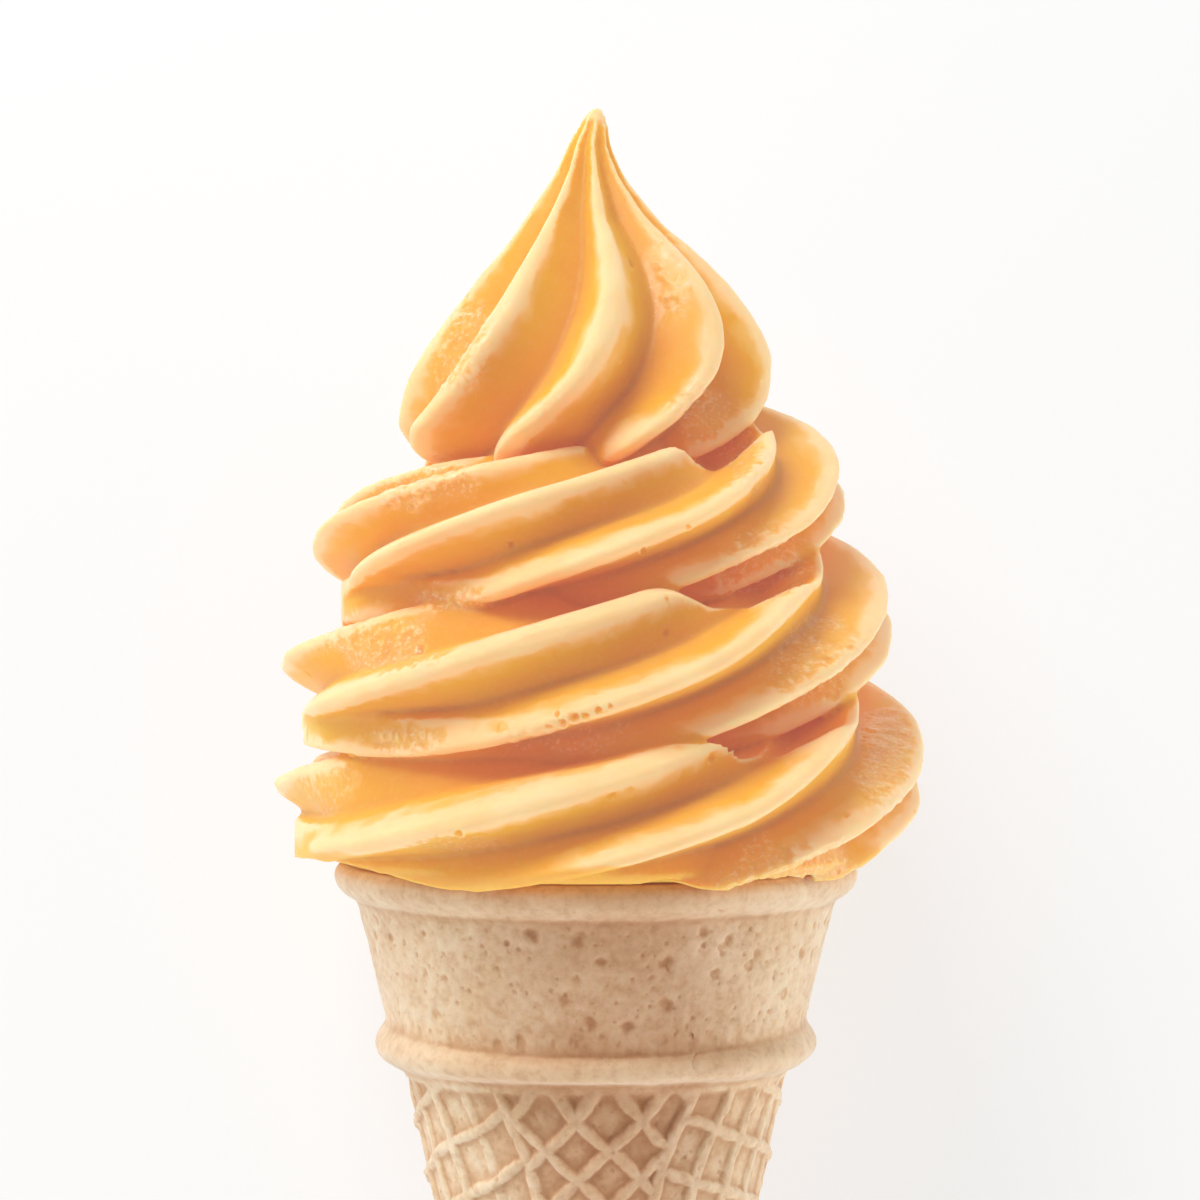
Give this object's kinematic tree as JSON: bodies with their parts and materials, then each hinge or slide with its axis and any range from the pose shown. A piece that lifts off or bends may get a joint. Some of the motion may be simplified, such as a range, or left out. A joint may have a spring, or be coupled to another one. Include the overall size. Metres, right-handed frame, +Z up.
{
  "type": "soft serve cone",
  "caption": "Swirl of ridged golden soft serve ice cream with a drawn-out peak, on a moulded wafer cone with a latticed tip, lying on its back.",
  "frame": {"origin": "bottom centre of the bounding box, on the floor under the middle of the lying cone", "axes": "+Y along the cone's length, level, towards the peak; +Z up, the way the shown side faces; +X to the right of the shown side"},
  "size_m": [0.0644, 0.1658, 0.0616],
  "materials": {
    "soft_serve": "glossy",
    "wafer": "matte"
  },
  "bodies": {
    "root": {"soft_serve": "soft_serve", "wafer_cone": "wafer"}
  },
  "joints": []
}
